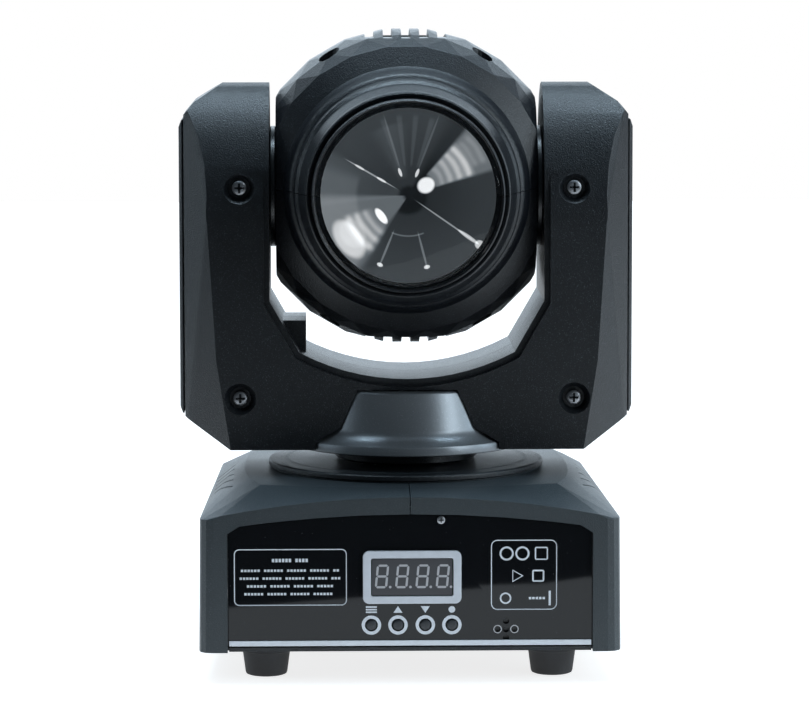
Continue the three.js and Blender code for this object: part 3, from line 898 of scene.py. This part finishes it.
@dataclass
class BaseUnit(Unit):
    """The square base: shells, turntable disc, feet and the parts inside and behind."""

    edge: float = 0.5
    disc_radius: float = 54.55
    disc_top: float = 76.05
    disc_underside: float = 74.0
    shaft_hole: float = 19.3

    def build(self) -> None:
        """Builds the base."""
        for side in ("left", "right"):
            self.refined(f"base_shell_{side}", "base_grain", Slot.SHELL, self.edge, 5.0)
        self.turntable()
        for node in self.nodes:
            if node.startswith("foot_"):
                self.foot(node)
        self.rear()
        self.dress("bottom_plate", "shell_grain")
        self.dress("control_board power_supply_board", "green_board")
        self.dress("pan_bearing pan_motor", "zinc_steel")
        self.dress("microphone", "dark_plastic_and_painted_shade")
        self.dress("pan_motor_pulley", "bare_alloy")
        self.dress("pan_belt", "rubber_black")

    def turntable(self) -> None:
        """The round disc under the yoke, with a soft rim and a raised inner track."""
        top, rim = self.disc_top, self.disc_radius
        profile = [
            (self.shaft_hole, top), (46.4, top), (46.9, top - 0.35), (47.6, top - 0.35), (48.1, top),
            (rim - 1.1, top), (rim - 0.5, top - 0.15), (rim - 0.12, top - 0.5), (rim, top - 0.95),
            (rim - 0.05, self.disc_underside), (rim - 1.2, self.disc_underside - 0.6),
            (self.shaft_hole, self.disc_underside - 0.6), (self.shaft_hole, top),
        ]
        disc = turned("turntable_disc", Axis.Z, profile, steps=128)
        self.fit(disc, "shell_grain", Slot.SHELL)

    def foot(self, node: str) -> None:
        """A tapered rubber foot with a moulded collar."""
        low, high = box_of(node)
        centre = ((low.x + high.x) / 2, (low.y + high.y) / 2)
        wide = (high.x - low.x) / 2
        tall = high.z
        narrow = wide * 0.84
        profile = [
            (0.0, 0.7), (narrow * 0.55, 0.7), (narrow * 0.62, 0.0), (narrow - 1.0, 0.0), (narrow - 0.3, 0.3),
            (narrow, 1.0), (wide - 0.5, tall - 3.2), (wide - 0.45, tall - 3.0), (wide, tall - 2.7),
            (wide, tall), (0.0, tall),
        ]
        foot = turned(f"{node}_moulded", Axis.Z, profile, centre, 64)
        self.fit(foot, "rubber_black", Slot.RUBBER, [node])

    def rear(self) -> None:
        """The rear panel and its three sockets."""
        self.refined("rear_panel", "shell_grain", Slot.SHELL, 0.2)
        self.refined("power_inlet", "socket_gloss", Slot.GLOSS, 0.35)
        self.refined("data_in_socket", "zinc_steel", Slot.STEEL, 0.25, 40.0)
        self.refined("data_out_socket", "zinc_steel", Slot.STEEL, 0.25, 40.0)


@dataclass
class ControlPanel(Unit):
    """The glossy front panel with its display, buttons, microphone holes and printed marks."""

    print_depth: float = 0.06
    ink_gap: float = 0.005
    digit_height: float = 9.1
    digit_width: float = 4.7
    digit_pitch: float = 7.7
    digit_slant: float = 0.1
    stroke: float = 0.82
    ring_inner: float = 2.45
    ring_outer: float = 3.7
    sign_rise: float = 3.9
    dash_pitch: float = 1.25
    dash_share: float = 0.72
    dash_group: int = 7
    digit_margin: float = 1.5

    def build(self) -> None:
        """Builds the panel and everything on it."""
        front = box_of("front_panel")[0].y
        self.ink_start, self.ink_end = front - self.print_depth, front - self.ink_gap
        self.refined("front_panel", "panel_gloss", Slot.GLOSS, 0.12, 40.0)
        self.refined("panel_trim_strip", "ink_pale", Slot.PALE, 0.12)
        self.panel_gap_shades()
        self.bezel()
        self.dress("display_module", "display_window")
        self.digits()
        for node in BUTTONS:
            self.button(node)
        self.button_marks()
        self.label_boxes()
        self.microphone_rings()
        self.cross_screw("panel_screw_head", "panel_screw", 1.5, 0.25)

    def printed(self, name: str, outlines: Iterable[Sequence[Point2]]) -> Piece:
        """Flat ink marks on the panel's face, as one piece."""
        start, end = self.ink_start, self.ink_end
        marks = [plate(f"{name}_mark", Axis.Y, outline, start, end) for outline in outlines]
        return self.fit(joined(name, marks), "ink_pale", Slot.PALE)

    def frame_mark(
        self, centre: Point2, width: float, height: float, radius: float, line: float,
    ) -> Piece:
        """A rounded rectangle drawn as a line of ink."""
        start, end = self.ink_start, self.ink_end
        outer = rounded_outline(width, height, radius, centre)
        inner = rounded_outline(width - 2 * line, height - 2 * line, radius - line, centre)
        mark = plate("frame_mark", Axis.Y, outer, start, end)
        subtract(mark, plate("frame_hole", Axis.Y, inner, start - OVERSHOOT, end + OVERSHOOT))
        return mark

    def ring_mark(self, centre: Point2, inner: float, outer: float, steps: int = 48) -> Piece:
        """A circle drawn as a line of ink."""
        start, end = self.ink_start, self.ink_end
        profile = [(inner, start), (outer, start), (outer, end), (inner, end), (inner, start)]
        return turned("ring_mark", Axis.Y, profile, centre, steps)

    def panel_gap_shades(self) -> None:
        """Dark fillers in the narrow gaps at the panel's two ends."""
        low, high = box_of("front_panel")
        for name, inner in (("left", low.x - 0.28), ("right", high.x + 0.02)):
            outline = rectangle((inner, 14.5), (inner + 0.26, 57.0))
            # Painted shade: a thin dark sheet stands in for the shadow in each gap.
            filler = plate(f"panel_gap_shade_{name}", Axis.Y, outline, low.y + 0.5, high.y)
            self.fit(filler, "dark_plastic_and_painted_shade", Slot.SHELL)

    def bezel(self) -> None:
        """The pale surround of the display, with a bevelled window."""
        low, high = box_of("display_bezel")
        window_low, window_high = box_of("display_module")
        centre = middle_of(low, high)
        outer = rounded_outline(high.x - low.x, high.z - low.z, 2.4, centre, 8)
        bezel = plate("display_surround", Axis.Y, outer, low.y, high.y)
        window = window_high - window_low
        middle = middle_of(window_low, window_high)
        inner = rounded_outline(window.x + 0.7, window.z + 0.6, 0.8, middle, 4)
        subtract(bezel, plate("window", Axis.Y, inner, low.y - OVERSHOOT, high.y + OVERSHOOT))
        round_edges(bezel, 0.22, 50.0)
        smooth(bezel, 40.0)
        self.fit(bezel, "bezel_pale", Slot.PALE, ["display_bezel"])

    def digits(self) -> None:
        """Four slanted seven-segment digits with their points, unlit."""
        low, high = box_of("display_module")
        middle_z = (low.z + high.z) / 2 + 0.35
        start, end = low.y - 0.05, low.y - self.ink_gap
        first = low.x + self.digit_margin + self.digit_width / 2
        marks = []
        for index in range(4):
            centre_x = first + index * self.digit_pitch
            for outline in self.digit_outlines():
                placed = [(centre_x + x + z * self.digit_slant, middle_z + z) for x, z in outline]
                marks.append(plate("segment", Axis.Y, placed, start, end))
            point_x = centre_x + self.digit_width / 2 + 0.75
            point_z = middle_z - self.digit_height / 2 + 0.45
            profile = [(0.0, start), (0.5, start), (0.5, end), (0.0, end)]
            marks.append(turned("decimal_point", Axis.Y, profile, (point_x, point_z), 20))
        self.fit(joined("display_digits", marks), "segment_pale", Slot.DISPLAY)

    def digit_outlines(self) -> list[list[Point2]]:
        """The seven segments of one upright digit, about its middle."""
        half_w = self.digit_width / 2 - self.stroke / 2
        half_h = self.digit_height / 2 - self.stroke / 2
        s, gap = self.stroke / 2, 0.14
        outlines = []
        for z in (-half_h, 0.0, half_h):
            a, b = -half_w + gap, half_w - gap
            outlines.append([
                (a, z), (a + s, z - s), (b - s, z - s), (b, z), (b - s, z + s), (a + s, z + s),
            ])
        for x in (-half_w, half_w):
            for low, high in ((-half_h + gap, -gap), (gap, half_h - gap)):
                outlines.append([
                    (x, low), (x + s, low + s), (x + s, high - s),
                    (x, high), (x - s, high - s), (x - s, low + s),
                ])
        return outlines

    def button(self, node: str) -> None:
        """A small round push button with a soft crown, and the pale ring printed round its hole."""
        low, high = box_of(node)
        centre = middle_of(low, high)
        radius, face = (high.x - low.x) / 2, low.y
        profile = [
            (0.0, face), (radius * 0.55, face + 0.02), (radius * 0.8, face + 0.1),
            (radius * 0.94, face + 0.28), (radius, face + 0.55), (radius, high.y), (0.0, high.y),
        ]
        cap = turned(f"{node}_cap", Axis.Y, profile, centre, 48)
        self.fit(cap, "button_grey", Slot.SHELL, [node], node)
        ring = self.ring_mark(centre, self.ring_inner, self.ring_outer)
        ring.name = f"{node}_ring"
        self.fit(ring, "ink_pale", Slot.PALE)

    def button_marks(self) -> None:
        """A plain sign over each button: bars, an up arrow, a down arrow and a dot."""
        menu, up, down, enter = (middle_of(*box_of(node))[0] for node in BUTTONS)
        z = box_of(BUTTONS[0])[1].z + self.sign_rise
        bar_feet = (z - 1.25, z - 0.25, z + 0.75)
        outlines = [rectangle((menu - 2.1, k), (menu + 2.1, k + 0.6)) for k in bar_feet]
        outlines.append([(up - 1.7, z - 1.2), (up + 1.7, z - 1.2), (up, z + 1.4)])
        outlines.append([(down - 1.7, z + 1.3), (down, z - 1.3), (down + 1.7, z + 1.3)])
        outlines.append(rounded_outline(2.5, 2.5, 1.2, (enter, z)))
        self.printed("button_signs", outlines)

    def label_boxes(self) -> None:
        """Two rounded boxes of ink with plain bars and plain shapes in place of any wording."""
        left = self.frame_mark((-45.5, 40.8), 42.8, 21.7, 2.0, 0.35)
        right = self.frame_mark((43.2, 41.4), 25.1, 26.9, 2.4, 0.35)
        self.fit(joined("label_outlines", [left, right]), "ink_pale", Slot.PALE)
        bars = [(-45.5, 47.3, 14.0, 1.3), (-45.5, 43.4, 37.5, 0.9), (-45.5, 40.4, 38.5, 0.9),
                (-45.5, 37.4, 33.0, 0.9), (-45.5, 34.4, 35.0, 0.9), (48.3, 32.4, 6.5, 0.9)]
        outlines = []
        for x, z, width, height in bars:
            outlines += self.dashes(x, z, width, height)
        outlines.append(rectangle((52.6, 29.6), (53.4, 35.2)))
        self.printed("label_bars", outlines)
        shapes = [
            self.ring_mark((36.6, 49.6), 2.0, 2.7), self.ring_mark((42.6, 49.6), 2.0, 2.7),
            self.frame_mark((49.8, 49.6), 5.0, 5.0, 0.7, 0.5),
            self.frame_mark((48.6, 41.0), 4.6, 4.6, 0.7, 0.6),
            self.ring_mark((40.2, 41.0), 2.2, 2.8, 3), self.ring_mark((36.2, 32.4), 1.6, 2.2),
        ]
        self.fit(joined("label_shapes", shapes), "ink_pale", Slot.PALE)

    def dashes(self, x: float, z: float, width: float, height: float) -> list[list[Point2]]:
        """A row of short bars in groups that fills a line, about its middle."""
        count = round(width / self.dash_pitch)
        pitch = width / count
        dash = pitch * self.dash_share
        outlines = []
        for index in range(count):
            if index % self.dash_group == self.dash_group - 1:
                continue
            start = x - width / 2 + index * pitch
            outlines.append(rectangle((start, z - height / 2), (start + dash, z + height / 2)))
        return outlines

    def microphone_rings(self) -> None:
        """Fine rings round the outer two holes of the microphone's cross."""
        low, high = box_of("microphone")
        x, z = middle_of(low, high)
        rings = [self.ring_mark((x + side * 3.2, z), 1.25, 1.6, 32) for side in (-1, 1)]
        self.fit(joined("microphone_rings", rings), "segment_pale", Slot.PALE)


@dataclass
class YokeUnit(Unit):
    """The U-shaped yoke, its covers and screws, and the bell-shaped hub that it turns on."""

    body: str = "yoke"
    edge: float = 1.0
    cover_edge: float = 0.4

    def build(self) -> None:
        """Builds the yoke."""
        for side in ("front", "rear"):
            self.refined(f"yoke_{side}_shell", "shell_grain", Slot.SHELL, self.edge)
        for side in ("left", "right"):
            self.refined(f"side_cover_{side}", "shell_grain", Slot.SHELL, self.cover_edge)
            for level in ("lower", "upper"):
                self.cross_screw(f"yoke_screw_head_{level}_{side}", f"yoke_screw_{level}_{side}", 2.8, 0.5)
        self.hub()
        self.dress("yoke_frame tilt_motor tilt_bearing_left tilt_bearing_right", "zinc_steel")
        self.dress("pan_pulley tilt_motor_pulley", "bare_alloy")
        self.dress("tilt_belt", "rubber_black")

    def hub(self) -> None:
        """The bell with its flared foot, and the dark collar of the hollow shaft below it."""
        outline = [
            (43.4, 82.2), (46.0, 82.2), (46.5, 82.5), (46.6, 83.1), (46.5, 85.2), (46.1, 85.8), (44.6, 86.4),
            (42.6, 87.7), (41.0, 89.3), (40.0, 91.3), (36.3, 104.9), (35.9, 105.5), (35.3, 105.8),
            (12.4, 105.8), (12.4, 102.6), (33.0, 102.6), (37.0, 91.0), (43.4, 84.4), (43.4, 82.2),
        ]
        bell = turned("hub_bell_turned", Axis.Z, outline, steps=144)
        self.fit(bell, "fine_satin", Slot.HUB, ["hub_bell"])
        shaft = [
            (8.5, 57.0), (12.0, 57.0), (12.0, 76.5), (27.4, 76.5), (28.0, 77.1), (28.0, 83.0), (27.5, 83.5),
            (12.0, 83.5), (12.0, 105.8), (8.5, 105.8), (8.5, 57.0),
        ]
        collar = turned("shaft_collar", Axis.Z, shaft)
        self.fit(collar, "dark_plastic_and_painted_shade", Slot.STEEL, ["pan_shaft"])


@dataclass
class HeadUnit(Unit):
    """The faceted head with its stepped lens ring, lens, optic and rear grille."""

    body: str = "head"
    edge: float = 0.35
    seam: float = 0.12
    optic_depth: float = 2.2

    def build(self) -> None:
        """Builds the head."""
        self.tilt_z = sum(corner[2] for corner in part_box("lens")) / 2 / MM
        for half in ("upper", "lower"):
            self.refined(f"head_shell_{half}", "head_grain", Slot.SHELL, self.edge, 7.0)
        self.lens_ring()
        self.axle_gap_shades()
        self.lens()
        self.dress("rear_grille", "head_grain")
        # Painted shade: the tilt axles take the dark finish so the gaps beside the head read dark.
        self.dress("tilt_axle_left tilt_axle_right", "dark_plastic_and_painted_shade")
        self.dress("head_screw_left head_screw_right", "zinc_steel")
        self.dress("heat_sink light_cup tilt_pulley", "bare_alloy")
        self.dress("led_board", "green_board")
        self.dress("fan_frame fan_rotor", "dark_plastic_and_painted_shade")

    def axle_gap_shades(self) -> None:
        """The dark flanges between the head's flat sides and the arms."""
        for name, side in (("left", -1), ("right", 1)):
            inner, outer = side * 51.1, side * 53.25
            profile = [(12.7, inner), (23.4, inner), (23.8, inner + side * 0.4), (23.8, outer - side * 0.4),
                       (23.4, outer), (12.7, outer), (12.7, inner)]
            gap_shade_disc = turned(f"axle_gap_shade_{name}", Axis.X, profile, (0.0, self.tilt_z), 72)
            self.fit(gap_shade_disc, "dark_plastic_and_painted_shade", Slot.SHELL)

    def lens_ring(self) -> None:
        """The stepped ring round the lens, in an upper and a lower half."""
        profile = [
            (44.0, -21.0), (44.0, -25.6), (48.2, -25.6), (47.4, -26.8), (46.7, -28.4), (46.2, -30.4),
            (45.6, -31.9), (44.8, -32.6), (44.1, -33.0), (43.8, -33.8), (43.8, -38.8), (43.6, -39.8),
            (43.1, -40.6), (42.3, -41.2), (41.9, -42.0), (39.9, -48.4), (39.7, -49.4), (39.6, -51.2),
            (39.35, -51.9), (38.8, -52.3), (38.2, -52.2), (37.7, -51.7), (37.2, -51.5), (37.0, -52.2),
            (37.0, -57.6), (36.85, -58.4), (36.4, -58.8), (35.95, -58.6), (35.7, -58.0), (35.6, -54.0),
            (33.6, -54.0), (33.6, -30.0), (40.0, -21.0), (44.0, -21.0),
        ]
        for half, above in (("upper", True), ("lower", False)):
            ring = turned(f"lens_ring_{half}_turned", Axis.Y, profile, (0.0, self.tilt_z), 160)
            side = self.seam if above else -self.seam
            keep_side(ring, Axis.Z, self.tilt_z + side, above)
            self.fit(ring, "head_grain", Slot.SHELL, [f"lens_ring_{half}"])

    def lens(self) -> None:
        """The crowned lens, the optic seen through it, and the light source behind that."""
        low, high = box_of("lens")
        radius = (high.x - low.x) / 2
        edge = high.y - 3.2
        crown = edge - low.y
        profile = [(0.0, high.y), (radius - 0.2, high.y), (radius, high.y - 0.2), (radius, edge + 0.3)]
        for step in range(17):
            share = 1 - step / 16
            profile.append(((radius - 0.25) * share, edge - crown * (1 - share**2)))
        glass = turned("lens_glass", Axis.Y, profile, (0.0, self.tilt_z), 128)
        self.fit(glass, "clear_lens", Slot.GLASS, ["lens"])
        back = high.y + 0.4
        rim = 33.2
        dish = [(0.0, back + self.optic_depth)]
        dish += [(rim * k / 8, back + self.optic_depth * (1 - (k / 8) ** 2)) for k in range(1, 9)]
        rear = back + self.optic_depth
        dish += [(rim, back + 0.8), (rim * 0.5, rear + 0.7), (0.0, rear + 0.9)]
        # The optic dish is no lamp: it glows with the painted reflection.
        self.shelf.add(PaintedOpticReflection("optic_painted_reflection", (0.0, back, self.tilt_z), radius))
        self.fit(turned("optic_dish", Axis.Y, dish, (0.0, self.tilt_z), 96), "optic_painted_reflection", Slot.ALUMINIUM)


# ---- The room ----

SKY_BLUE = (0.66, 0.85, 1.0)
COOL_BLUE = (0.72, 0.88, 1.0)


@dataclass
class Lamp:
    """One soft rectangular light, turned towards the object."""

    name: str
    place: Point3
    width: float
    height: float
    watts: float
    colour: Colour


@dataclass
class Studio:
    """A pale floor, soft lights and the camera. Lengths are in metres here."""

    distance: float = 1.582
    azimuth: float = -1.25
    camera_height: float = 0.2948
    aim: Point3 = (-0.0004, 0.0, 0.1173)
    roll: float = -0.07
    focal_length: float = 178.45
    floor_front: Point2 = (-0.15, -0.4)
    floor_slant: float = 0.3
    floor_back: float = 2.4
    floor_left: float = 0.45
    floor_right: float = 0.95
    lamps: tuple[Lamp, ...] = (
        Lamp("overhead_softbox", (0.0, -0.08, 1.35), 1.5, 0.7, 7.0, SKY_BLUE),
        Lamp("zenith_strip", (0.0, 0.03, 1.3), 1.1, 0.12, 13.0, SKY_BLUE),
        Lamp("rear_softbox", (0.0, 1.25, 1.2), 2.2, 1.0, 7.0, SKY_BLUE),
        Lamp("back_wall", (0.0, 2.6, 1.0), 4.2, 1.9, 50.0, (0.78, 0.9, 1.0)),
        Lamp("left_strip", (-1.5, 0.65, 0.42), 0.35, 0.3, 2.6, COOL_BLUE),
        Lamp("left_wall", (-1.5, -0.1, 0.5), 0.7, 0.8, 2.4, COOL_BLUE),
        Lamp("right_wall", (1.5, -0.1, 0.5), 0.7, 0.8, 7.0, COOL_BLUE),
        Lamp("right_strip", (1.3, -0.9, 0.75), 0.35, 1.2, 11.0, (0.8, 0.92, 1.0)),
    )

    def build(self) -> None:
        """Builds the room and points the camera."""
        self.floor()
        self.light()
        self.world()
        self.camera()

    def floor(self) -> None:
        """A plain pale floor whose front edge runs at a slant just in front of the object."""
        near, far = self.floor_front
        outline = [
            (-self.floor_left, near), (-self.floor_slant, near),
            (self.floor_slant, far), (self.floor_right, far),
            (self.floor_right, self.floor_back), (-self.floor_left, self.floor_back),
        ]
        corners = [(x / MM, y / MM, 0.0) for x, y in outline]
        floor = path("studio_floor", [*corners, corners[0]])
        edit(
            floor,
            lambda: bpy.ops.mesh.remove_doubles(threshold=MERGE_DISTANCE),
            bpy.ops.mesh.edge_face_add,
            merge_all,
        )
        graph = Graph("studio_paper")
        fibre = graph.noise(700.0, 4.0)
        paper = graph.surface({
            "Base Color": graph.blend(fibre, (0.5, 0.5, 0.5), (0.54, 0.54, 0.54)),
            "Roughness": 0.75 + fibre * 0.1,
            "Emission Color": graph.blend(fibre, (1.0, 1.0, 1.0), (0.98, 0.98, 0.98)),
            "Emission Strength": 0.8,
        })
        floor.data.materials.append(paper)

    def light(self) -> None:
        """Soft area lights, each facing the middle of the object."""
        for lamp in self.lamps:
            data = bpy.data.lights.new(lamp.name, "AREA")
            data.shape = "RECTANGLE"
            data.size, data.size_y = lamp.width, lamp.height
            data.energy, data.color = lamp.watts, lamp.colour
            light = bpy.data.objects.new(lamp.name, data)
            bpy.context.collection.objects.link(light)
            light.location = lamp.place
            light.visible_camera = False
            towards = Vector((0.0, 0.0, 0.13)) - Vector(lamp.place)
            light.rotation_euler = towards.to_track_quat("-Z", "Y").to_euler()

    def world(self) -> None:
        """A white surround that lights the object only dimly."""
        world = bpy.data.worlds.new("studio_surround")
        bpy.context.scene.world = world
        world.use_nodes = True
        nodes, links = world.node_tree.nodes, world.node_tree.links
        nodes.clear()
        ray = nodes.new("ShaderNodeLightPath")
        dim, white = nodes.new("ShaderNodeBackground"), nodes.new("ShaderNodeBackground")
        dim.inputs["Color"].default_value = (0.7, 0.86, 1.0, 1.0)
        dim.inputs["Strength"].default_value = 0.06
        white.inputs["Color"].default_value = (1.0, 1.0, 1.0, 1.0)
        mix, end = nodes.new("ShaderNodeMixShader"), nodes.new("ShaderNodeOutputWorld")
        links.new(ray.outputs["Is Camera Ray"], mix.inputs["Fac"])
        links.new(dim.outputs["Background"], mix.inputs[1])
        links.new(white.outputs["Background"], mix.inputs[2])
        links.new(mix.outputs["Shader"], end.inputs["Surface"])
        bpy.context.scene.view_settings.view_transform = "Standard"

    def camera(self) -> None:
        """A long lens, a little left of the middle and a little above the object."""
        turn = math.radians(self.azimuth)
        across, back = self.distance * math.sin(turn), self.distance * math.cos(turn)
        place = Vector((across, -back, self.camera_height))
        data = bpy.data.cameras.new("studio_camera")
        data.lens, data.sensor_width = self.focal_length, 36.0
        camera = bpy.data.objects.new("studio_camera", data)
        bpy.context.collection.objects.link(camera)
        camera.location = place
        camera.rotation_mode = "QUATERNION"
        look = (Vector(self.aim) - place).to_track_quat("-Z", "Y")
        camera.rotation_quaternion = look @ Quaternion((0.0, 0.0, 1.0), math.radians(self.roll))
        bpy.context.scene.camera = camera


def main() -> None:
    """Builds the whole light and notes its size before and after."""
    logging.basicConfig(level=logging.INFO, format="%(name)s: %(message)s")
    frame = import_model()
    Studio().build()
    shelf = FinishShelf()
    nodes = frame["nodes"]
    for unit in (BaseUnit, ControlPanel, YokeUnit, HeadUnit):
        unit(shelf, nodes).build()
        LOG.info("%s built", unit.__name__)


if __name__ == "__main__":
    main()
